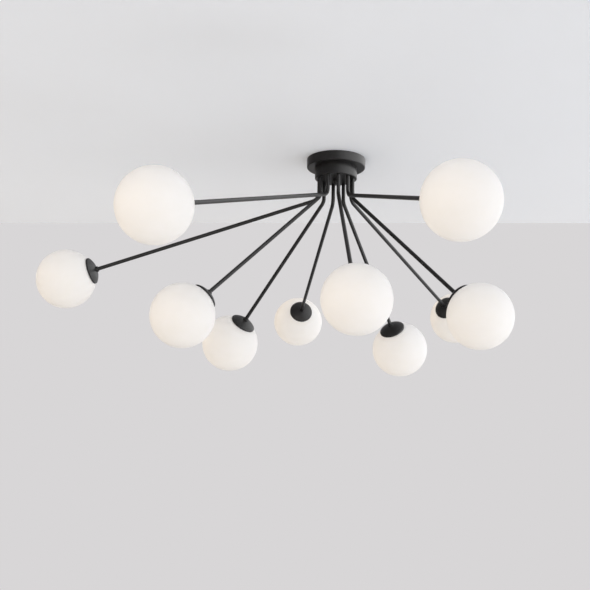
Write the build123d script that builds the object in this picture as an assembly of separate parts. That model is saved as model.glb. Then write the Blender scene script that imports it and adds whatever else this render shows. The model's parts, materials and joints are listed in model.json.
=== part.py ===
from build123d import *
from math import atan2, cos, hypot, radians, sin, sqrt
import os

# Ceiling light: ten opal globes on bent tube stems that leave a two-tier canopy in a ring.
# Millimetres, +Z up. The origin lies on the ceiling, on the canopy's axis, and -Y faces the room.

# Globes of opal glass, with a threaded collar turned inwards at the mouth
GLOBE_D = 130.0
GLASS = 3.0
THREAD_D = 40.0
THREAD_FIT = 0.35
MOUTH_DEPTH = 9.0

# Stems of steel tube: upright leg, one bend, straight arm, and a threaded stub at each end
TUBE_D = 8.2
TUBE_WALL = 0.9
BEND_R = 20.0
DROP = 88.0
LONG_REACH = 588.0
LONG_SLOPE = 17.0
SHORT_REACH = 412.0
SHORT_SLOPE = 44.0
STUB_D = 6.0
STUB_BORE = 3.6
STUB_ROOT = 6.0
STUB_GRIP = 5.0

# Ring of stems near the hub's wall, counted anticlockwise from above, short and long by turns
STEM_INSET = 9.0
RING_START = -12.0
TURNS = (-25.0, 33.0, -1.0, 1.0, 3.0, 4.0, -1.0, -2.0, -2.0, -27.0)

# Domed caps of spun sheet, with a straight lip over the glass and a neck collar round the tube
CAP_DOME_R = 46.8
CAP_SHEET = 1.2
CAP_ROOM = 5.2
CAP_EDGE = 1.0
LIP_GAP = 0.4
LIP_EDGE = 0.4
NECK_WALL = 2.05
NECK_H = 4.0
NECK_EDGE = 0.6

# Lampholders: threaded skirt, flange and boss in one moulding, with a socket for the lamp's base
SKIRT_WALL = 2.0
SKIRT_DEPTH = 8.0
FLANGE_T = 1.7
FLANGE_GAP = 0.4
BOSS_D = 11.0
SOCKET_D = 18.0
SOCKET_H = 18.0
LAMP_BASE_D = 12.0
LAMP_BASE_H = 9.0
LAMP_D = 16.0
LAMP_L = 36.0

# Seal rings between the mouth of the glass and the lampholder's flange
SEAL_T = 1.8
SEAL_GAP = 0.2
SEAL_INSET = 0.25

# Canopy and hub, the two tiers, open at the top
CANOPY_D = 127.0
CANOPY_H = 20.0
CANOPY_SHEET = 1.2
CANOPY_EDGE = 2.5
WIRE_HOLE_D = 14.0
WIRE_HOLES = 4
WIRE_HOLE_R = 24.0
HUB_D = 91.5
HUB_H = 24.5
HUB_WALL = 1.5
HUB_FLOOR = 3.0
HUB_EDGE = 2.0

# Crossbar on the ceiling box, and what hangs from it
BAR_L = 110.0
BAR_W = 22.0
BAR_T = 2.5
SLOT_SPACING = 88.9
SLOT_L = 14.0
SLOT_D = 5.0
NIPPLE_D = 10.0
NIPPLE_BORE = 7.0
NIPPLE_GRIP = 7.0
NIPPLE_NUT_AF = 14.0
NIPPLE_NUT_H = 4.0
FINIAL_D = 13.0
FINIAL_H = 11.0
EARTH_X = 22.0
EARTH_D = 4.0
EARTH_HEAD_D = 7.6
EARTH_HEAD_H = 2.6
BLOCK_X = -23.0
BLOCK_L = 26.0
BLOCK_W = 17.0
BLOCK_H = 12.0
BLOCK_POLES = 3
BLOCK_HOLE_D = 4.2
BLOCK_SCREW_D = 4.0
BLOCK_GROOVE_W = 1.2
BLOCK_GROOVE_D = 4.5

# Washers and nuts that hold the stems in the hub
WASHER_D = 12.0
WASHER_T = 1.0
STEM_NUT_AF = 10.0
STEM_NUT_H = 5.0
STUB_SHOW = 1.5

# Clearances: running fit of a turning stem, thread on thread, slip fit, and a stem's end below the hub
RUN_FIT = 0.05
SCREW_FIT = 0.05
SLIP_FIT = 0.1
SEAT_GAP = 0.1

globe_r = GLOBE_D / 2
ring_r = HUB_D / 2 - STEM_INSET
hub_bottom = -CANOPY_H - HUB_H
hub_floor = hub_bottom + HUB_FLOOR

# Heights in a head: along the arm's axis from the globe's centre, towards the stem
mouth_r = THREAD_D / 2 + THREAD_FIT
collar_r = mouth_r + GLASS
seat_r = collar_r - SEAL_INSET
mouth_z = sqrt(globe_r**2 - collar_r**2)
flange_z = mouth_z + SEAL_T + 2 * SEAL_GAP
flange_top = flange_z + FLANGE_T

# The cap's dome just clears the flange's upper edge, and its flat pad carries the neck
neck_r = TUBE_D / 2 + SLIP_FIT + NECK_WALL
dome_in = CAP_DOME_R - CAP_SHEET
dome_z = flange_top - sqrt((dome_in - FLANGE_GAP) ** 2 - seat_r**2)
pad_z = dome_z + sqrt(CAP_DOME_R**2 - neck_r**2)
boss_z = pad_z - CAP_SHEET


def axis_arc(centre_z, start, end):
    """Arc in a half section, about a centre on the axis of revolution."""
    a = atan2(start[1] - centre_z, start[0])
    b = atan2(end[1] - centre_z, end[0])
    r = hypot(start[0], start[1] - centre_z)
    middle = (r * cos((a + b) / 2), centre_z + r * sin((a + b) / 2))
    return ThreePointArc(start, middle, end)


def turned(*outline):
    """Solid turned about Z from the lines and arcs of its half section, radius by height."""
    return revolve(Plane.XZ * make_face(outline), Axis.Z)


def bored(points):
    """Solid turned about Z from a half section of straight lines."""
    return turned(*Polyline(*points, close=True).edges())


def ring(outer_d, inner_d, z, height):
    """Flat ring that stands on height z."""
    return Pos(0, 0, z) * extrude(Circle(outer_d / 2) - Circle(inner_d / 2), height)


def hex_nut(across_flats, bore_d, z, height):
    """Hexagon nut that stands on height z."""
    flats = RegularPolygon(across_flats / 2, 6, major_radius=False)
    return Pos(0, 0, z) * extrude(flats - Circle(bore_d / 2), height)


def globe():
    """Blown globe: two spheres, a flat lip at the mouth and the threaded collar inside it."""
    inner_r = globe_r - GLASS
    collar_end = mouth_z - MOUTH_DEPTH
    inside_z = sqrt(inner_r**2 - collar_r**2)
    return turned(
        axis_arc(0, (0, -globe_r), (collar_r, mouth_z)),
        Line((collar_r, mouth_z), (mouth_r, mouth_z)),
        Line((mouth_r, mouth_z), (mouth_r, collar_end)),
        Line((mouth_r, collar_end), (collar_r, collar_end)),
        Line((collar_r, collar_end), (collar_r, inside_z)),
        axis_arc(0, (collar_r, inside_z), (0, -inner_r)),
        Line((0, -inner_r), (0, -globe_r)),
    )


def seal():
    """Seal ring on the lip of the mouth, round the lampholder's skirt."""
    return ring(2 * seat_r, 2 * mouth_r, mouth_z + SEAL_GAP, SEAL_T)


def cap():
    """Spun cap: straight lip just clear of the glass, dome, and neck collar for the tube."""
    inner_r = seat_r + CAP_ROOM
    outer_r = inner_r + CAP_SHEET
    lip_z = sqrt((globe_r + LIP_GAP) ** 2 - inner_r**2)
    round_r = outer_r - CAP_EDGE
    round_z = dome_z + sqrt((CAP_DOME_R - CAP_EDGE) ** 2 - round_r**2)
    lean = atan2(round_z - dome_z, round_r)
    halfway = (round_r + CAP_EDGE * cos(lean / 2), round_z + CAP_EDGE * sin(lean / 2))
    shoulder = (round_r + CAP_EDGE * cos(lean), round_z + CAP_EDGE * sin(lean))
    pad_r = sqrt(dome_in**2 - (boss_z - dome_z) ** 2)
    inside_z = dome_z + sqrt(dome_in**2 - inner_r**2)
    tube_r = TUBE_D / 2 + SLIP_FIT
    hole_r = STUB_D / 2 + SLIP_FIT
    neck_z = pad_z + NECK_H
    shell = turned(
        Line((hole_r, boss_z), (pad_r, boss_z)),
        axis_arc(dome_z, (pad_r, boss_z), (inner_r, inside_z)),
        Line((inner_r, inside_z), (inner_r, lip_z)),
        Line((inner_r, lip_z), (outer_r, lip_z)),
        Line((outer_r, lip_z), (outer_r, round_z)),
        ThreePointArc((outer_r, round_z), halfway, shoulder),
        axis_arc(dome_z, shoulder, (neck_r, pad_z)),
        Line((neck_r, pad_z), (neck_r, neck_z)),
        Line((neck_r, neck_z), (tube_r, neck_z)),
        Line((tube_r, neck_z), (tube_r, pad_z)),
        Line((tube_r, pad_z), (hole_r, pad_z)),
        Line((hole_r, pad_z), (hole_r, boss_z)),
    )
    for height, cut in ((lip_z, LIP_EDGE), (neck_z, NECK_EDGE)):
        circles = shell.edges().filter_by(GeomType.CIRCLE)
        shell = chamfer(circles.filter_by_position(Axis.Z, height - 0.01, height + 0.01), cut)
    return shell


def lamp():
    """Lampholder moulding and the lamp that is pushed into its socket."""
    skirt_r = THREAD_D / 2
    skirt_end = flange_z - SKIRT_DEPTH
    socket_end = flange_z - SOCKET_H
    thread_r = STUB_D / 2 + SCREW_FIT
    base_r = LAMP_BASE_D / 2
    well_r = base_r + SLIP_FIT
    well_z = socket_end + LAMP_BASE_H
    holder = bored(
        [
            (thread_r, boss_z),
            (BOSS_D / 2, boss_z),
            (BOSS_D / 2, flange_top),
            (seat_r, flange_top),
            (seat_r, flange_z),
            (skirt_r, flange_z),
            (skirt_r, skirt_end),
            (skirt_r - SKIRT_WALL, skirt_end),
            (skirt_r - SKIRT_WALL, flange_z),
            (SOCKET_D / 2, flange_z),
            (SOCKET_D / 2, socket_end),
            (well_r, socket_end),
            (well_r, well_z),
            (thread_r, well_z),
        ]
    )
    lamp_r = LAMP_D / 2
    tip_z = socket_end - LAMP_L
    bulb = turned(
        Line((0, well_z), (base_r, well_z)),
        Line((base_r, well_z), (base_r, socket_end)),
        Line((base_r, socket_end), (lamp_r, socket_end)),
        Line((lamp_r, socket_end), (lamp_r, tip_z + lamp_r)),
        axis_arc(tip_z + lamp_r, (lamp_r, tip_z + lamp_r), (0, tip_z)),
        Line((0, tip_z), (0, well_z)),
    )
    return Compound(children=[holder, bulb])


def stem(reach, slope):
    """Stem with its upright leg on Z and its arm over +X: bent tube and two threaded stubs."""
    out = Vector(cos(radians(slope)), 0, -sin(radians(slope)))
    top = Vector(0, 0, hub_bottom - SEAT_GAP)
    corner = Vector(0, 0, -DROP)
    end = corner + out * (reach - pad_z)
    stub_top = Vector(0, 0, hub_floor + WASHER_T + STEM_NUT_H + STUB_SHOW)
    stub_end = end + out * (CAP_SHEET + STUB_GRIP)

    def along(first, last, diameter):
        path = FilletPolyline(first, corner, last, radius=BEND_R)
        return sweep(Plane(first, z_dir=(0, 0, -1)) * Circle(diameter / 2), path)

    leg_in = top - Vector(0, 0, STUB_ROOT)
    arm_in = end - out * STUB_ROOT
    body = along(top, end, TUBE_D)
    body += Plane(leg_in) * extrude(Circle(STUB_D / 2), (stub_top - leg_in).length)
    body += Plane(arm_in, z_dir=out) * extrude(Circle(STUB_D / 2), (stub_end - arm_in).length)
    body -= along(leg_in, arm_in, TUBE_D - 2 * TUBE_WALL)
    return body - along(stub_top, stub_end, STUB_BORE)


def canopy():
    """Spun pan: flat floor, rounded lower edge, a hole for the nipple and holes for the wires."""
    pan = extrude(Circle(CANOPY_D / 2), -CANOPY_H)
    pan = fillet(pan.edges().sort_by(Axis.Z)[0], CANOPY_EDGE)
    room = extrude(Circle(CANOPY_D / 2 - CANOPY_SHEET), -CANOPY_H + CANOPY_SHEET)
    room = fillet(room.edges().sort_by(Axis.Z)[0], CANOPY_EDGE - CANOPY_SHEET)
    holes = Circle(NIPPLE_D / 2 + SLIP_FIT)
    holes += PolarLocations(WIRE_HOLE_R, WIRE_HOLES, 45) * Circle(WIRE_HOLE_D / 2)
    return pan - room - extrude(holes, -CANOPY_H)


def hub():
    """Cup under the canopy: thick floor with a ring of holes that the stems' stubs turn in."""
    cup = Pos(0, 0, -CANOPY_H) * extrude(Circle(HUB_D / 2), -HUB_H)
    cup = fillet(cup.edges().sort_by(Axis.Z)[0], HUB_EDGE)
    cup -= Pos(0, 0, -CANOPY_H) * extrude(Circle(HUB_D / 2 - HUB_WALL), -HUB_H + HUB_FLOOR)
    holes = Circle(NIPPLE_D / 2 + SLIP_FIT)
    holes += PolarLocations(ring_r, len(TURNS), RING_START) * Circle(STUB_D / 2 + RUN_FIT)
    return cup - Pos(0, 0, hub_bottom) * extrude(holes, HUB_FLOOR)


def finial():
    """Domed nut on the nipple's lower end, with a blind thread."""
    r = FINIAL_D / 2
    thread_r = NIPPLE_D / 2 + SCREW_FIT
    low = hub_bottom - FINIAL_H
    blind = hub_bottom - NIPPLE_GRIP - SLIP_FIT
    return turned(
        Line((thread_r, hub_bottom), (r, hub_bottom)),
        Line((r, hub_bottom), (r, low + r)),
        axis_arc(low + r, (r, low + r), (0, low)),
        Line((0, low), (0, blind)),
        Line((0, blind), (thread_r, blind)),
        Line((thread_r, blind), (thread_r, hub_bottom)),
    )


def ceiling_bracket():
    """Flat crossbar with a slot near each end and three threaded holes."""
    plan = SlotOverall(BAR_L, BAR_W)
    plan -= GridLocations(SLOT_SPACING, 0, 2, 1) * SlotOverall(SLOT_L, SLOT_D)
    plan -= Circle(NIPPLE_D / 2 + SCREW_FIT)
    plan -= Pos(EARTH_X, 0) * Circle(EARTH_D / 2 + SCREW_FIT)
    return extrude(plan, -BAR_T)


def terminal_block():
    """Three-pole block under the crossbar: wire holes right through, screw wells and grooves from below."""
    block = Pos(BLOCK_X, 0, -BAR_T - BLOCK_H / 2) * Box(BLOCK_L, BLOCK_W, BLOCK_H)
    pitch = BLOCK_L / BLOCK_POLES
    wire_z = -BAR_T - BLOCK_H / 2
    low = -BAR_T - BLOCK_H
    for pole in GridLocations(pitch, 0, BLOCK_POLES, 1):
        x = BLOCK_X + pole.position.X
        block -= Pos(x, 0, wire_z) * Rot(90, 0, 0) * Cylinder(BLOCK_HOLE_D / 2, BLOCK_W)
        block -= Pos(x, 0, low) * extrude(Circle(BLOCK_SCREW_D / 2), wire_z - low)
    for gap in GridLocations(pitch, 0, BLOCK_POLES - 1, 1):
        groove = Box(BLOCK_GROOVE_W, BLOCK_W, 2 * BLOCK_GROOVE_D)
        block -= Pos(BLOCK_X + gap.position.X, 0, low) * groove
    return block


def earth_screw():
    """Pan-head screw in the crossbar, head below."""
    return Pos(EARTH_X, 0, 0) * bored(
        [
            (0, 0),
            (EARTH_D / 2, 0),
            (EARTH_D / 2, -BAR_T),
            (EARTH_HEAD_D / 2, -BAR_T),
            (EARTH_HEAD_D / 2, -BAR_T - EARTH_HEAD_H),
            (0, -BAR_T - EARTH_HEAD_H),
        ]
    )


parts = {
    "ceiling_bracket": ceiling_bracket(),
    "earth_screw": earth_screw(),
    "terminal_block": terminal_block(),
    "threaded_nipple": ring(NIPPLE_D, NIPPLE_BORE, hub_bottom - NIPPLE_GRIP, NIPPLE_GRIP - hub_bottom),
    "nipple_nut": hex_nut(NIPPLE_NUT_AF, NIPPLE_D + 2 * SCREW_FIT, -BAR_T - NIPPLE_NUT_H, NIPPLE_NUT_H),
    "canopy": canopy(),
    "hub": hub(),
    "finial": finial(),
}

washer = ring(WASHER_D, STUB_D + 2 * RUN_FIT, hub_floor, WASHER_T)
nut = hex_nut(STEM_NUT_AF, STUB_D + 2 * RUN_FIT, hub_floor + WASHER_T, STEM_NUT_H)
legs = PolarLocations(ring_r, len(TURNS), RING_START).locations
parts["stem_washers"] = Compound(children=[leg * washer for leg in legs])
parts["stem_nuts"] = Compound(children=[leg * nut for leg in legs])

head = {"cap": cap(), "lamp": lamp(), "seal": seal(), "globe": globe()}
stems = []
for reach, slope in ((SHORT_REACH, SHORT_SLOPE), (LONG_REACH, LONG_SLOPE)):
    out = Vector(cos(radians(slope)), 0, -sin(radians(slope)))
    centre = Vector(0, 0, -DROP) + out * reach
    stems.append((stem(reach, slope), Plane(centre, x_dir=(0, 1, 0), z_dir=-out).location))

for number, (leg, turn) in enumerate(zip(legs, TURNS), 1):
    tube, at_globe = stems[(number - 1) % 2]
    place = leg * Rot(0, 0, turn)
    parts[f"stem_{number:02}"] = place * tube
    for name, piece in head.items():
        parts[f"{name}_{number:02}"] = place * at_globe * piece

os.makedirs("parts", exist_ok=True)
for name, shape in parts.items():
    export_step(shape, f"parts/{name}.step")
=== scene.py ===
import json
import math

import bmesh
import bpy
from mathutils import Matrix, Vector


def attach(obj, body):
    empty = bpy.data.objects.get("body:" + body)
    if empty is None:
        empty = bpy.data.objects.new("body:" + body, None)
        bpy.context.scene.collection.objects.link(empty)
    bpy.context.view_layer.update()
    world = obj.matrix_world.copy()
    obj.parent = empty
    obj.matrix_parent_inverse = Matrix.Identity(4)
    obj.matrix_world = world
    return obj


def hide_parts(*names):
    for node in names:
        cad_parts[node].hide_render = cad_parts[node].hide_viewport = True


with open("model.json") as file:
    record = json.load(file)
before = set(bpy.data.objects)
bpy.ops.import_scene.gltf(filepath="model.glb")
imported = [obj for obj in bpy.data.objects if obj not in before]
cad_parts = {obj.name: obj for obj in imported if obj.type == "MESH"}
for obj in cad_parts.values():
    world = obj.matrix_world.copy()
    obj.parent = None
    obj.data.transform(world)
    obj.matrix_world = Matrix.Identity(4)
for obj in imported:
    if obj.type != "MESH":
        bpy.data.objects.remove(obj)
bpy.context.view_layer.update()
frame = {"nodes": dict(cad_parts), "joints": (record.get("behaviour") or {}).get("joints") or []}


# Crossbar, earth screw, nuts and washers: pressed and turned steel with a bright zinc plate.
# The crossbar is screwed up to the ears of the ceiling box through its slots, and the canopy hides it.
MM = 0.001
ZINC_CLOUD = 7 * MM
ZINC_GRIT = 0.8 * MM


def linear(hex_colour):
    """Linear colour with full alpha from an sRGB hex value."""
    parts = [int(hex_colour[i : i + 2], 16) / 255 for i in (1, 3, 5)]
    return [c / 12.92 if c <= 0.04045 else ((c + 0.055) / 1.055) ** 2.4 for c in parts] + [1.0]


def node(tree, kind, inputs=None, **settings):
    """Adds a shader node with its settings, and sets each input to a value or links it to an output."""
    made = tree.nodes.new("ShaderNode" + kind)
    for name, value in settings.items():
        setattr(made, name, value)
    for name, value in (inputs or {}).items():
        if isinstance(value, bpy.types.NodeSocket):
            tree.links.new(value, made.inputs[name])
        else:
            made.inputs[name].default_value = value
    return made


def blank_finish(name):
    """New material with an empty node tree."""
    finish = bpy.data.materials.new(name)
    finish.use_nodes = True
    finish.node_tree.nodes.clear()
    return finish, finish.node_tree


def coated(finish, *names):
    """Gives CAD nodes a finish in place of their plain one."""
    for name in names:
        slots = frame["nodes"][name].data.materials
        slots.clear()
        slots.append(finish)


# Zinc plate over steel: a bright bluish metal, faintly clouded where the bath left it uneven.
# Its grit is drawn coarser than life, to show.
zinc_plate, tree = blank_finish("zinc_plate")
spot = node(tree, "TexCoord").outputs["Object"]
cloud = node(tree, "TexNoise", {"Vector": spot, "Scale": 1 / ZINC_CLOUD, "Detail": 3.0}).outputs["Fac"]
tint = node(tree, "ValToRGB", {"Fac": cloud})
tint.color_ramp.elements[0].position = 0.35
tint.color_ramp.elements[0].color = linear("#b9bcc0")
tint.color_ramp.elements[1].position = 0.7
tint.color_ramp.elements[1].color = linear("#d2d2cc")
satin = node(tree, "MapRange", {"Value": cloud, "To Min": 0.26, "To Max": 0.42}).outputs["Result"]
grit = node(tree, "TexNoise", {"Vector": spot, "Scale": 1 / ZINC_GRIT, "Detail": 2.0}).outputs["Fac"]
relief = node(tree, "Bump", {"Height": grit, "Strength": 0.15, "Distance": 0.05 * MM}).outputs["Normal"]
metal = node(
    tree,
    "BsdfPrincipled",
    {"Base Color": tint.outputs["Color"], "Metallic": 1.0, "Roughness": satin, "Normal": relief},
)
node(tree, "OutputMaterial", {"Surface": metal.outputs["BSDF"]})
coated(zinc_plate, "ceiling_bracket", "earth_screw", "nipple_nut", "stem_washers", "stem_nuts")


# Nipple: a length of steel tube with a rolled thread, zinc plated.
# It screws into the crossbar, and canopy and hub are pulled up on it by the finial.
NIPPLE_R = 5 * MM
NIPPLE_BORE_R = 3.5 * MM
NIPPLE_LOW = -51.5 * MM
NIPPLE_HIGH = 0
NIPPLE_PITCH = 1 * MM
NIPPLE_DEPTH = 0.55 * MM
NIPPLE_SIDES = 32
MERGE = 0.001 * MM
SHARP = math.radians(40)


def threaded_tube(bm, radius, bore, low, high, pitch, depth, around):
    """Tube about Z with an outer thread: one pitch screwed up, cut flat and closed to the bore."""
    root = radius - depth
    rise, crest, fall = 0.4, 0.55, 0.95
    turns = math.ceil((high - low) / pitch) + 2
    section = ((root, 0), (radius, rise), (radius, crest), (root, fall), (root, 1))
    verts = [bm.verts.new((r, 0, low + (z - 1) * pitch)) for r, z in section]
    edges = [bm.edges.new(pair) for pair in zip(verts, verts[1:])]
    bmesh.ops.spin(
        bm,
        geom=verts + edges,
        cent=(0, 0, 0),
        axis=(0, 0, 1),
        dvec=(0, 0, pitch / around),
        angle=math.tau * turns,
        steps=turns * around,
    )
    near = pitch / 1000
    bmesh.ops.remove_doubles(bm, verts=bm.verts, dist=near)
    for height, side in ((low, -1), (high, 1)):
        bmesh.ops.bisect_plane(
            bm,
            geom=bm.verts[:] + bm.edges[:] + bm.faces[:],
            plane_co=(0, 0, height),
            plane_no=(0, 0, side),
            clear_outer=True,
        )
    bmesh.ops.create_circle(bm, segments=around, radius=bore, matrix=Matrix.Translation((0, 0, low)))
    made = bmesh.ops.extrude_edge_only(bm, edges=[e for e in bm.edges if e.is_wire])["geom"]
    for v in [g for g in made if isinstance(g, bmesh.types.BMVert)]:
        v.co.z = high
    for height in (low, high):
        open_edges = [
            e for e in bm.edges if e.is_boundary and all(abs(v.co.z - height) < near for v in e.verts)
        ]
        bmesh.ops.bridge_loops(bm, edges=open_edges)


def finished(bm, name, finishes, place=None):
    """Object from a bmesh: doubles merged, faces outwards, smooth shaded, its place put in the mesh."""
    bmesh.ops.remove_doubles(bm, verts=bm.verts, dist=MERGE)
    bmesh.ops.recalc_face_normals(bm, faces=bm.faces)
    for face in bm.faces:
        face.smooth = True
    for edge in bm.edges:
        edge.smooth = edge.calc_face_angle(0) < SHARP
    mesh = bpy.data.meshes.new(name)
    bm.to_mesh(mesh)
    bm.free()
    if place is not None:
        mesh.transform(place)
    for finish in finishes:
        mesh.materials.append(finish)
    piece = bpy.data.objects.new(name, mesh)
    bpy.context.scene.collection.objects.link(piece)
    return piece


bm = bmesh.new()
threaded_tube(
    bm, NIPPLE_R, NIPPLE_BORE_R, NIPPLE_LOW, NIPPLE_HIGH, NIPPLE_PITCH, NIPPLE_DEPTH, NIPPLE_SIDES
)
nipple = finished(bm, "nipple_thread", [zinc_plate])
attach(nipple, "base")
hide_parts("threaded_nipple")


# Terminal block: three poles moulded in nylon, under the crossbar.
# The mains wires are clamped in it by small screws reached from below.
NYLON_GRAIN = 0.9 * MM

# Moulded nylon: an off-white plastic with a soft sheen, broken by the grain of the mould.
# The grain is drawn coarser than life, to show.
nylon, tree = blank_finish("moulded_nylon")
spot = node(tree, "TexCoord").outputs["Object"]
grain = node(tree, "TexNoise", {"Vector": spot, "Scale": 1 / NYLON_GRAIN, "Detail": 2.0}).outputs["Fac"]
relief = node(tree, "Bump", {"Height": grain, "Strength": 0.2, "Distance": 0.05 * MM}).outputs["Normal"]
haze = node(tree, "MapRange", {"Value": grain, "To Min": 0.4, "To Max": 0.55}).outputs["Result"]
plastic = node(
    tree,
    "BsdfPrincipled",
    {"Base Color": linear("#e6e5df"), "Roughness": haze, "IOR": 1.53, "Normal": relief},
)
node(tree, "OutputMaterial", {"Surface": plastic.outputs["BSDF"]})
coated(nylon, "terminal_block")


# Canopy and hub: two spun steel pans, one under the other, with a matt black powder coat inside and out.
# The finial, a domed nut on the nipple, holds both against the ceiling.
COAT_GRAIN = 1.1 * MM
COAT_PATCH = 14 * MM

# Powder coat: cured in the oven to a fine grain and an uneven satin, so that its gloss is soft and broken.
# The grain is drawn coarser than life, to show.
powder_coat, tree = blank_finish("black_powder_coat")
spot = node(tree, "TexCoord").outputs["Object"]
grain = node(tree, "TexNoise", {"Vector": spot, "Scale": 1 / COAT_GRAIN, "Detail": 2.0}).outputs["Fac"]
patch = node(tree, "TexNoise", {"Vector": spot, "Scale": 1 / COAT_PATCH, "Detail": 3.0}).outputs["Fac"]
tint = node(tree, "ValToRGB", {"Fac": patch})
tint.color_ramp.elements[0].position = 0.3
tint.color_ramp.elements[0].color = linear("#19191a")
tint.color_ramp.elements[1].position = 0.75
tint.color_ramp.elements[1].color = linear("#1f1f20")
satin = node(tree, "MapRange", {"Value": grain, "To Min": 0.24, "To Max": 0.36}).outputs["Result"]
relief = node(tree, "Bump", {"Height": grain, "Strength": 0.3, "Distance": 0.08 * MM}).outputs["Normal"]
coat = node(
    tree,
    "BsdfPrincipled",
    {"Base Color": tint.outputs["Color"], "Roughness": satin, "IOR": 1.5, "Normal": relief},
)
node(tree, "OutputMaterial", {"Surface": coat.outputs["BSDF"]})
coated(powder_coat, "canopy", "hub", "finial")


# Stems: 8 mm steel tube, bent once near the hub, in a short and a long length by turns round the ring.
# A threaded stub is fixed in each end: the upper one turns in the hub's floor, and the far one holds the cap
# and the lampholder. The tube is powder coated like the canopy.
TUBE_R = 4.1 * MM
TUBE_BORE_R = 3.2 * MM
TUBE_SIDES = 28
STUB_R = 3 * MM
STUB_BORE_R = 1.8 * MM
STUB_PITCH = 1 * MM
STUB_DEPTH = 0.5 * MM
STUB_SIDES = 24
STUB_TOP = -34.0 * MM
STUB_REACH = 6.2 * MM
STUB_ROOT = 6 * MM
ROOT_BORE_R = 1.85 * MM
STEM_TOP = -44.6 * MM
DROP = 88 * MM
BEND_R = 20 * MM
BEND_STEP = math.radians(5)
PAD = 72.09 * MM
SHORT = (412 * MM, math.radians(44))
LONG = (588 * MM, math.radians(17))
STEMS = 10
numbers = [f"{n:02}" for n in range(1, STEMS + 1)]
joints = {joint["name"]: joint for joint in frame["joints"]}


def pushed(bm, edges, step):
    """Extrudes a rim of edges by a step and gives the new rim."""
    made = bmesh.ops.extrude_edge_only(bm, edges=edges)["geom"]
    bmesh.ops.translate(bm, verts=[g for g in made if isinstance(g, bmesh.types.BMVert)], vec=step)
    return [g for g in made if isinstance(g, bmesh.types.BMEdge)]


def narrowed(bm, edges, centre, ratio):
    """Extrudes a rim of edges, scales the new rim about a centre and gives it."""
    made = bmesh.ops.extrude_edge_only(bm, edges=edges)["geom"]
    verts = [g for g in made if isinstance(g, bmesh.types.BMVert)]
    bmesh.ops.scale(bm, vec=(ratio, ratio, ratio), space=Matrix.Translation(-centre), verts=verts)
    return [g for g in made if isinstance(g, bmesh.types.BMEdge)]


def bent(bm, edges, height, angle):
    """Turns a rim of edges round the bend's axis at a height and gives the new rim."""
    steps = round(abs(angle) / BEND_STEP)
    made = bmesh.ops.spin(
        bm, geom=edges, cent=(BEND_R, 0, height), axis=(0, 1, 0), angle=angle, steps=steps
    )
    return [g for g in made["geom_last"] if isinstance(g, bmesh.types.BMEdge)]


for index, number in enumerate(numbers):
    reach, slope = (SHORT, LONG)[index % 2]
    bend = math.pi / 2 - slope
    bend_z = -DROP + BEND_R * math.tan(bend / 2)
    out = Vector((math.cos(slope), 0, -math.sin(slope)))
    run = reach - PAD - BEND_R * math.tan(bend / 2)
    top = Vector((0, 0, STEM_TOP))
    end = Vector((0, 0, -DROP)) + out * (reach - PAD)
    inset = Vector((0, 0, -STUB_ROOT))

    # One rim goes down the outer wall, in at the far end, back up the bore and out at the top
    bm = bmesh.new()
    bmesh.ops.create_circle(bm, segments=TUBE_SIDES, radius=TUBE_R, matrix=Matrix.Translation(top))
    rim = pushed(bm, bm.edges[:], Vector((0, 0, bend_z - STEM_TOP)))
    rim = bent(bm, rim, bend_z, -bend)
    rim = pushed(bm, rim, out * run)
    rim = narrowed(bm, rim, end, ROOT_BORE_R / TUBE_R)
    rim = pushed(bm, rim, out * -STUB_ROOT)
    rim = narrowed(bm, rim, end - out * STUB_ROOT, TUBE_BORE_R / ROOT_BORE_R)
    rim = pushed(bm, rim, out * (STUB_ROOT - run))
    rim = bent(bm, rim, bend_z, bend)
    rim = pushed(bm, rim, Vector((0, 0, STEM_TOP - STUB_ROOT - bend_z)))
    rim = narrowed(bm, rim, top + inset, ROOT_BORE_R / TUBE_BORE_R)
    rim = pushed(bm, rim, -inset)
    narrowed(bm, rim, top, TUBE_R / ROOT_BORE_R)

    # Each stub is made by itself and then joined on, because its flat cuts would go through the tube as well
    along = Matrix.Translation(end) @ out.to_track_quat("Z", "Y").to_matrix().to_4x4()
    for low, high, seat in ((STEM_TOP, STUB_TOP, Matrix()), (0, STUB_REACH, along)):
        thread = bmesh.new()
        threaded_tube(thread, STUB_R, STUB_BORE_R, low, high, STUB_PITCH, STUB_DEPTH, STUB_SIDES)
        bmesh.ops.transform(thread, matrix=seat, verts=thread.verts)
        stub = bpy.data.meshes.new("stub")
        thread.to_mesh(stub)
        thread.free()
        bm.from_mesh(stub)
        bpy.data.meshes.remove(stub)
    hinge = joints[f"stem_turn_{number}"]
    heading = Vector(joints[f"globe_unscrew_{number}"]["axis"])
    place = Matrix.Translation((hinge["pos_m"][0], hinge["pos_m"][1], 0))
    place = place @ Matrix.Rotation(math.atan2(heading.y, heading.x), 4, "Z")
    stem = finished(bm, f"stem_tube_{number}", [powder_coat], place)
    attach(stem, f"arm_{number}")
    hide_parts(f"stem_{number}")


# Caps: domes of spun steel with a short straight lip over the glass and a neck collar for the tube.
# The stem's end stub passes through the dome and clamps it on the lampholder; same powder coat.
CAP_R = 29.5 * MM
CAP_SHEET = 1.2 * MM
CAP_LIP_Z = 58.96 * MM
CAP_EDGE_Z = 62.04 * MM
CAP_DOME_Z = 25.71 * MM
CAP_DOME_R = 46.8 * MM
CAP_HOLE_R = 3.1 * MM
CAP_SIDES = 96
DOME_STEPS = 20
NECK_R = 6.25 * MM
NECK_HOLE_R = 4.2 * MM
NECK_H = 4 * MM
LIP_EDGE = 0.4 * MM
DOME_EDGE = 1.0 * MM
NECK_EDGE = 0.5 * MM
EDGE_STEPS = 3
RIM_BAND = 0.2 * MM
RIM_ANGLE = math.radians(25)


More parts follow.
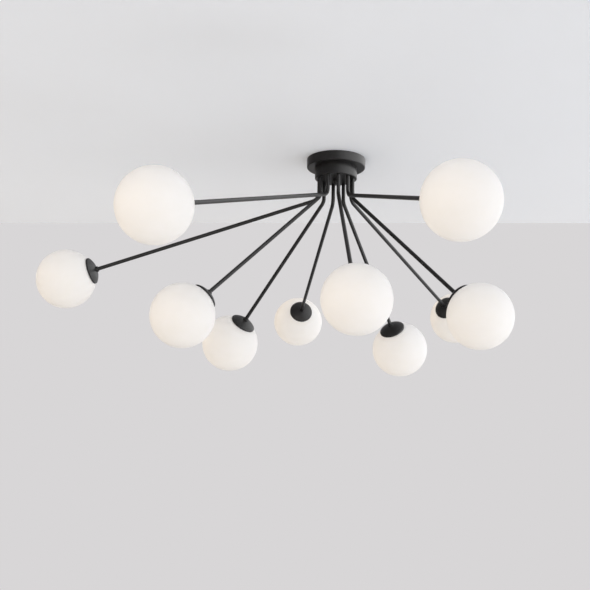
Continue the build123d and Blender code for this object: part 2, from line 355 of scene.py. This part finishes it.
def drawn(bm, *strokes):
    """Half section of a turned piece.

    A point is (radius, height), and an arc to it about the axis is (radius, height, centre height, steps).
    """
    pen = bm.verts.new((strokes[0][0], 0, strokes[0][1]))
    first = pen
    for r, z, *arc in strokes[1:]:
        if arc:
            centre, steps = arc
            angle = math.atan2(pen.co.z - centre, pen.co.x) - math.atan2(z - centre, r)
            made = bmesh.ops.spin(
                bm, geom=[pen], cent=(0, 0, centre), axis=(0, 1, 0), angle=angle, steps=steps
            )
            pen = [g for g in made["geom_last"] if isinstance(g, bmesh.types.BMVert)][0]
        else:
            pen = bmesh.ops.extrude_vert_indiv(bm, verts=[pen])["verts"][0]
            pen.co = (r, 0, z)
    return first, pen


def turned(bm, sides):
    """Turns the half section in a bmesh once round Z and merges the seam and the poles."""
    bmesh.ops.spin(
        bm,
        geom=bm.verts[:] + bm.edges[:],
        cent=(0, 0, 0),
        axis=(0, 0, 1),
        angle=math.tau,
        steps=sides,
        use_merge=True,
    )
    bmesh.ops.remove_doubles(bm, verts=bm.verts, dist=MERGE)
    bmesh.ops.recalc_face_normals(bm, faces=bm.faces)
    bm.normal_update()


def eased(bm, radius, *heights):
    """Rounds the sharp rims of a turned piece that lie at the heights."""
    rims = []
    for e in bm.edges:
        middle = (e.verts[0].co.z + e.verts[1].co.z) / 2
        if e.calc_face_angle(0) > RIM_ANGLE and any(abs(middle - z) < RIM_BAND for z in heights):
            rims.append(e)
    bmesh.ops.bevel(
        bm,
        geom=rims,
        offset=radius,
        offset_type="OFFSET",
        segments=EDGE_STEPS,
        profile=0.5,
        affect="EDGES",
        material=-1,
    )


def head_place(number):
    """Place of a globe's own axes: origin at its centre, Z along the arm towards the stem."""
    hinge = joints[f"globe_unscrew_{number}"]
    inwards = -Vector(hinge["axis"])
    side = Vector((0, 0, 1)).cross(inwards).normalized()
    turn = Matrix((side, inwards.cross(side), inwards)).transposed().to_4x4()
    return Matrix.Translation(hinge["pos_m"]) @ turn


bm = bmesh.new()
dome_in = CAP_DOME_R - CAP_SHEET
inner_r = CAP_R - CAP_SHEET
pad_out = CAP_DOME_Z + math.sqrt(CAP_DOME_R**2 - NECK_R**2)
pad_in = pad_out - CAP_SHEET
pad_r = math.sqrt(dome_in**2 - (pad_in - CAP_DOME_Z) ** 2)
neck_z = pad_out + NECK_H
first, last = drawn(
    bm,
    (inner_r, CAP_LIP_Z),
    (CAP_R, CAP_LIP_Z),
    (CAP_R, CAP_EDGE_Z),
    (NECK_R, pad_out, CAP_DOME_Z, DOME_STEPS),
    (NECK_R, neck_z),
    (NECK_HOLE_R, neck_z),
    (NECK_HOLE_R, pad_out),
    (CAP_HOLE_R, pad_out),
    (CAP_HOLE_R, pad_in),
    (pad_r, pad_in),
    (inner_r, CAP_DOME_Z + math.sqrt(dome_in**2 - inner_r**2), CAP_DOME_Z, DOME_STEPS),
)
bm.edges.new((last, first))
turned(bm, CAP_SIDES)
eased(bm, LIP_EDGE, CAP_LIP_Z)
eased(bm, DOME_EDGE, CAP_EDGE_Z)
eased(bm, NECK_EDGE, neck_z)
for number in numbers:
    cap = finished(bm.copy(), f"cap_dome_{number}", [powder_coat], head_place(number))
    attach(cap, f"arm_{number}")
    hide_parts(f"cap_{number}")
bm.free()


# Lampholders and lamps: a white ceramic moulding whose threaded skirt the globe screws on, with a small
# frosted capsule lamp pushed into its socket. All of it is inside the cap and the globe.
FLANGE_Z = 62.86 * MM
FLANGE_TOP = 64.56 * MM
FLANGE_R = 23.1 * MM
BOSS_R = 5.5 * MM
HOLDER_HOLE_R = 3.05 * MM
HOLDER_SIDES = 64
SKIRT_R = 20 * MM
SKIRT_BORE_R = 18 * MM
SKIRT_END = 54.86 * MM
SKIRT_PITCH = 4 * MM
SKIRT_DEPTH = 0.8 * MM
SKIRT_SIDES = 64
SOCKET_R = 9 * MM
SOCKET_END = 44.86 * MM
WELL_R = 6.1 * MM
WELL_Z = 53.86 * MM
LAMP_R = 8 * MM
LAMP_FOOT_R = 6 * MM
LAMP_TIP = 8.86 * MM
LAMP_GAP = 0.05 * MM
LAMP_EDGE = 1.2 * MM
LAMP_SIDES = 48
LAMP_STEPS = 12
CLAY_SPECK = 2 * MM
FROST = 1 * MM

# Steatite: a fired white ceramic, glazed to a low gloss and faintly specked.
ceramic, tree = blank_finish("glazed_steatite")
spot = node(tree, "TexCoord").outputs["Object"]
speck = node(tree, "TexNoise", {"Vector": spot, "Scale": 1 / CLAY_SPECK, "Detail": 4.0}).outputs["Fac"]
tint = node(tree, "ValToRGB", {"Fac": speck})
tint.color_ramp.elements[0].position = 0.3
tint.color_ramp.elements[0].color = linear("#dcd8cd")
tint.color_ramp.elements[1].position = 0.6
tint.color_ramp.elements[1].color = linear("#ece9e1")
clay = node(tree, "BsdfPrincipled", {"Base Color": tint.outputs["Color"], "Roughness": 0.32, "IOR": 1.6})
node(tree, "OutputMaterial", {"Surface": clay.outputs["BSDF"]})

# Frosted lamp glass: a milky white without a clear reflection. The frost is drawn coarser than life, to show.
frosted, tree = blank_finish("frosted_lamp_glass")
spot = node(tree, "TexCoord").outputs["Object"]
frost = node(tree, "TexNoise", {"Vector": spot, "Scale": 1 / FROST, "Detail": 2.0}).outputs["Fac"]
haze = node(tree, "MapRange", {"Value": frost, "To Min": 0.45, "To Max": 0.6}).outputs["Result"]
envelope = node(tree, "BsdfPrincipled", {"Base Color": linear("#f2efe6"), "Roughness": haze, "IOR": 1.5})
node(tree, "OutputMaterial", {"Surface": envelope.outputs["BSDF"]})

bm = bmesh.new()
first, last = drawn(
    bm,
    (HOLDER_HOLE_R, pad_in),
    (BOSS_R, pad_in),
    (BOSS_R, FLANGE_TOP),
    (FLANGE_R, FLANGE_TOP),
    (FLANGE_R, FLANGE_Z),
    (SOCKET_R, FLANGE_Z),
    (SOCKET_R, SOCKET_END),
    (WELL_R, SOCKET_END),
    (WELL_R, WELL_Z),
    (HOLDER_HOLE_R, WELL_Z),
)
bm.edges.new((last, first))
turned(bm, HOLDER_SIDES)
holder_mesh = bpy.data.meshes.new("holder")
bm.to_mesh(holder_mesh)
bm.free()
bm = bmesh.new()
threaded_tube(bm, SKIRT_R, SKIRT_BORE_R, SKIRT_END, FLANGE_Z, SKIRT_PITCH, SKIRT_DEPTH, SKIRT_SIDES)
bm.from_mesh(holder_mesh)
bm.to_mesh(holder_mesh)
bm.free()
bm = bmesh.new()
drawn(
    bm,
    (0, WELL_Z - LAMP_GAP),
    (LAMP_FOOT_R, WELL_Z - LAMP_GAP),
    (LAMP_FOOT_R, SOCKET_END - LAMP_GAP),
    (LAMP_R, SOCKET_END - LAMP_GAP),
    (LAMP_R, LAMP_TIP + LAMP_R),
    (0, LAMP_TIP, LAMP_TIP + LAMP_R, LAMP_STEPS),
)
turned(bm, LAMP_SIDES)
eased(bm, LAMP_EDGE, SOCKET_END)
for face in bm.faces:
    face.material_index = 1
bm.from_mesh(holder_mesh)
bpy.data.meshes.remove(holder_mesh)
for number in numbers:
    lamp = finished(bm.copy(), f"lamp_unit_{number}", [ceramic, frosted], head_place(number))
    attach(lamp, f"arm_{number}")
    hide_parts(f"lamp_{number}")
bm.free()


# Seals: flat rings moulded in white silicone rubber, between the lip of the glass and the lampholder's
# flange. Each is slipped over the skirt and is held there by the globe that is screwed up under it.
SEAL_LOW = 60.86 * MM
SEAL_HIGH = 62.66 * MM
SEAL_IN_R = 20.35 * MM
SEAL_OUT_R = 23.1 * MM
SEAL_EDGE = 0.5 * MM
SEAL_SIDES = 72
SILICONE_DUST = 1.5 * MM

# White silicone: a dull soft rubber, unevenly matt where dust clings to it.
silicone, tree = blank_finish("white_silicone")
spot = node(tree, "TexCoord").outputs["Object"]
dust = node(tree, "TexNoise", {"Vector": spot, "Scale": 1 / SILICONE_DUST, "Detail": 3.0}).outputs["Fac"]
haze = node(tree, "MapRange", {"Value": dust, "To Min": 0.5, "To Max": 0.7}).outputs["Result"]
rubber = node(tree, "BsdfPrincipled", {"Base Color": linear("#dedcd6"), "Roughness": haze, "IOR": 1.41})
node(tree, "OutputMaterial", {"Surface": rubber.outputs["BSDF"]})

bm = bmesh.new()
first, last = drawn(
    bm,
    (SEAL_IN_R, SEAL_LOW),
    (SEAL_OUT_R, SEAL_LOW),
    (SEAL_OUT_R, SEAL_HIGH),
    (SEAL_IN_R, SEAL_HIGH),
)
bm.edges.new((last, first))
turned(bm, SEAL_SIDES)
eased(bm, SEAL_EDGE, SEAL_LOW, SEAL_HIGH)
for number in numbers:
    seal = finished(bm.copy(), f"seal_ring_{number}", [silicone], head_place(number))
    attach(seal, f"gasket_{number}")
    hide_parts(f"seal_{number}")
bm.free()


# Globes: opal glass 130 mm across, blown in a mould, with a threaded collar turned in at the mouth.
# Each screws up on its lampholder.
GLOBE_R = 65 * MM
GLASS = 3 * MM
MOUTH_R = 20.35 * MM
MOUTH_Z = 60.66 * MM
MOUTH_EDGE = 0.8 * MM
COLLAR_Z = 51.66 * MM
GLOBE_SIDES = 120
GLOBE_STEPS = 60
OPAL_CLOUD = 28 * MM
OPAL_ETCH = 1.2 * MM

# Opal glass, acid etched: light goes a little way into the white glass and comes out softened, and the etch
# leaves a satin without a clear reflection. The etch is drawn coarser than life, to show.
opal, tree = blank_finish("etched_opal_glass")
spot = node(tree, "TexCoord").outputs["Object"]
cloud = node(tree, "TexNoise", {"Vector": spot, "Scale": 1 / OPAL_CLOUD, "Detail": 2.0}).outputs["Fac"]
tint = node(tree, "ValToRGB", {"Fac": cloud})
tint.color_ramp.elements[0].position = 0.3
tint.color_ramp.elements[0].color = linear("#fbfaf5")
tint.color_ramp.elements[1].position = 0.7
tint.color_ramp.elements[1].color = linear("#fdfcf9")
etch = node(tree, "TexNoise", {"Vector": spot, "Scale": 1 / OPAL_ETCH, "Detail": 2.0}).outputs["Fac"]
satin = node(tree, "MapRange", {"Value": etch, "To Min": 0.42, "To Max": 0.52}).outputs["Result"]
glass = node(
    tree,
    "BsdfPrincipled",
    {
        "Base Color": tint.outputs["Color"],
        "Roughness": satin,
        "IOR": 1.5,
        "Subsurface Weight": 1.0,
        "Subsurface Radius": (1.0, 1.0, 1.0),
        "Subsurface Scale": GLASS,
    },
)
node(tree, "OutputMaterial", {"Surface": glass.outputs["BSDF"]})

inner_r = GLOBE_R - GLASS
collar_r = MOUTH_R + GLASS
bm = bmesh.new()
drawn(
    bm,
    (0, -GLOBE_R),
    (collar_r, MOUTH_Z, 0, GLOBE_STEPS),
    (MOUTH_R, MOUTH_Z),
    (MOUTH_R, COLLAR_Z),
    (collar_r, COLLAR_Z),
    (collar_r, math.sqrt(inner_r**2 - collar_r**2)),
    (0, -inner_r, 0, GLOBE_STEPS),
)
turned(bm, GLOBE_SIDES)
eased(bm, MOUTH_EDGE, MOUTH_Z, COLLAR_Z)
for number in numbers:
    globe = finished(bm.copy(), f"globe_glass_{number}", [opal], head_place(number))
    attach(globe, f"shade_{number}")
    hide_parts(f"globe_{number}")
bm.free()


# Ceiling: a pale painted ceiling that the canopy is fixed to, cut off behind where the wall begins.
# It has no upper side, so the fitting is seen from above too. It casts no shadow, and nothing mirrors it.
CEILING_BACK_LEFT = 0.822
CEILING_BACK_RIGHT = 0.215
CEILING_FRONT = -4.0
CEILING_HALF = 4.0
CEILING_Z = 0.4 * MM
ceiling_paint, tree = blank_finish("ceiling_paint")
ray = node(tree, "LightPath")
face = node(tree, "NewGeometry")
unseen = node(
    tree, "Math", {0: ray.outputs["Is Glossy Ray"], 1: ray.outputs["Is Shadow Ray"]}, operation="MAXIMUM"
).outputs["Value"]
clear = node(tree, "Math", {0: face.outputs["Backfacing"], 1: unseen}, operation="MAXIMUM").outputs["Value"]
paint = node(tree, "BsdfDiffuse", {"Color": linear("#e2e8f1")}).outputs["BSDF"]
gone = node(tree, "BsdfTransparent").outputs["BSDF"]
shown = node(tree, "MixShader", {"Fac": clear, 1: paint, 2: gone}).outputs["Shader"]
node(tree, "OutputMaterial", {"Surface": shown})
bm = bmesh.new()
corners = [
    bm.verts.new((x, y, CEILING_Z))
    for x, y in (
        (-CEILING_HALF, CEILING_FRONT),
        (-CEILING_HALF, CEILING_BACK_LEFT),
        (CEILING_HALF, CEILING_BACK_RIGHT),
        (CEILING_HALF, CEILING_FRONT),
    )
]
bm.faces.new(corners)
mesh = bpy.data.meshes.new("ceiling")
bm.to_mesh(mesh)
bm.free()
mesh.materials.append(ceiling_paint)
ceiling = bpy.data.objects.new("ceiling", mesh)
bpy.context.scene.collection.objects.link(ceiling)


# Floor: a plain pale floor well below, which throws light back up.
# It has no underside, so the fitting is seen from below too, and nothing mirrors it.
FLOOR_Z = -2.4
FLOOR_R = 8.0
FLOOR_SIDES = 96
floor_paint, tree = blank_finish("floor_paint")
ray = node(tree, "LightPath")
face = node(tree, "NewGeometry")
clear = node(
    tree, "Math", {0: face.outputs["Backfacing"], 1: ray.outputs["Is Glossy Ray"]}, operation="MAXIMUM"
).outputs["Value"]
bounce = node(tree, "BsdfDiffuse", {"Color": linear("#eef0f2")}).outputs["BSDF"]
paint = node(tree, "BsdfDiffuse", {"Color": linear("#b2b5bb")}).outputs["BSDF"]
gone = node(tree, "BsdfTransparent").outputs["BSDF"]
shown = node(tree, "MixShader", {"Fac": ray.outputs["Is Camera Ray"], 1: bounce, 2: paint}).outputs["Shader"]
shown = node(tree, "MixShader", {"Fac": clear, 1: shown, 2: gone}).outputs["Shader"]
node(tree, "OutputMaterial", {"Surface": shown})
bm = bmesh.new()
level = Matrix.Translation((0, 0, FLOOR_Z))
bmesh.ops.create_circle(bm, cap_ends=True, segments=FLOOR_SIDES, radius=FLOOR_R, matrix=level)
mesh = bpy.data.meshes.new("floor")
bm.to_mesh(mesh)
bm.free()
mesh.materials.append(floor_paint)
floor = bpy.data.objects.new("floor", mesh)
bpy.context.scene.collection.objects.link(floor)


# Light: soft daylight all round, cool towards a window on the right and warm on the left, and two soft lamps.
# The camera sees a plain wall in its place. What the black coat mirrors is brighter towards the window, and
# brighter above the horizon than below it.
WINDOW = (0.96, -0.1, -0.2)
DAYLIGHT = 1.34
SHEEN_BELOW = 1.2
SHEEN_ABOVE = 2.35
HORIZON_LOW = -0.3
HORIZON_HIGH = 0.2
AIM = Vector((0, 0, -0.28))
STUDIO_LAMPS = (
    ("key_light", (2.1, -0.5, -1.5), 0.8, 7.5, "#f6f9ff"),
    ("fill_light", (-1.1, -2.4, -0.9), 1.8, 7.5, "#fff5e8"),
)
world = bpy.data.worlds.new("studio")
bpy.context.scene.world = world
world.use_nodes = True
tree = world.node_tree
tree.nodes.clear()
ray = node(tree, "LightPath")
heading = node(tree, "TexCoord").outputs["Generated"]
across = node(tree, "VectorMath", {0: heading, 1: WINDOW}, operation="DOT_PRODUCT").outputs["Value"]
windowside = node(tree, "MapRange", {"Value": across, "From Min": -1.0}).outputs["Result"]
daylight = node(tree, "ValToRGB", {"Fac": windowside})
daylight.color_ramp.elements[0].color = linear("#ead2b3")
daylight.color_ramp.elements[1].color = linear("#f8fbff")
mirrored = node(tree, "ValToRGB", {"Fac": windowside})
mirrored.color_ramp.elements[0].color = linear("#3c3c3e")
mirrored.color_ramp.elements[1].color = linear("#ffffff")
mirrored.color_ramp.elements.new(0.5).color = linear("#6c6c6e")
height = node(tree, "SeparateXYZ", {"Vector": heading}).outputs["Z"]
gain = node(
    tree,
    "MapRange",
    {
        "Value": height,
        "From Min": HORIZON_LOW,
        "From Max": HORIZON_HIGH,
        "To Min": SHEEN_BELOW,
        "To Max": SHEEN_ABOVE,
    },
).outputs["Result"]
soft = node(tree, "Background", {"Color": daylight.outputs["Color"], "Strength": DAYLIGHT})
sheen = node(tree, "Background", {"Color": mirrored.outputs["Color"], "Strength": gain})
wall = node(tree, "Background", {"Color": linear("#d8d6d7"), "Strength": 1.0})
shown = node(
    tree,
    "MixShader",
    {"Fac": ray.outputs["Is Glossy Ray"], 1: soft.outputs["Background"], 2: sheen.outputs["Background"]},
).outputs["Shader"]
shown = node(
    tree, "MixShader", {"Fac": ray.outputs["Is Camera Ray"], 1: shown, 2: wall.outputs["Background"]}
).outputs["Shader"]
node(tree, "OutputWorld", {"Surface": shown})
for name, stand, size, watts, colour in STUDIO_LAMPS:
    light = bpy.data.lights.new(name, "AREA")
    light.shape = "DISK"
    light.size = size
    light.energy = watts
    light.color = linear(colour)[:3]
    held = bpy.data.objects.new(name, light)
    bpy.context.scene.collection.objects.link(held)
    aimed = (AIM - Vector(stand)).to_track_quat("-Z", "Y").to_matrix().to_4x4()
    held.matrix_world = Matrix.Translation(stand) @ aimed
bpy.context.scene.view_settings.view_transform = "Standard"


# Camera: at the photograph's angle, from below and in front, with its slight roll.
# Its lens gives the photograph's framing on a sensor 36 mm wide.
EYE = Vector((-0.0909, -2.0187, -0.7023))
AHEAD = Vector((0.003253, 0.980985, 0.19406))
ACROSS = Vector((0.999794, -0.007075, 0.019004))
SENSOR = 36
LENS = 59.05
camera = bpy.data.objects.new("camera", bpy.data.cameras.new("camera"))
bpy.context.scene.collection.objects.link(camera)
upright = ACROSS.cross(AHEAD)
camera.matrix_world = Matrix.Translation(EYE) @ Matrix((ACROSS, upright, -AHEAD)).transposed().to_4x4()
camera.data.sensor_width = SENSOR
camera.data.lens = LENS
bpy.context.scene.camera = camera
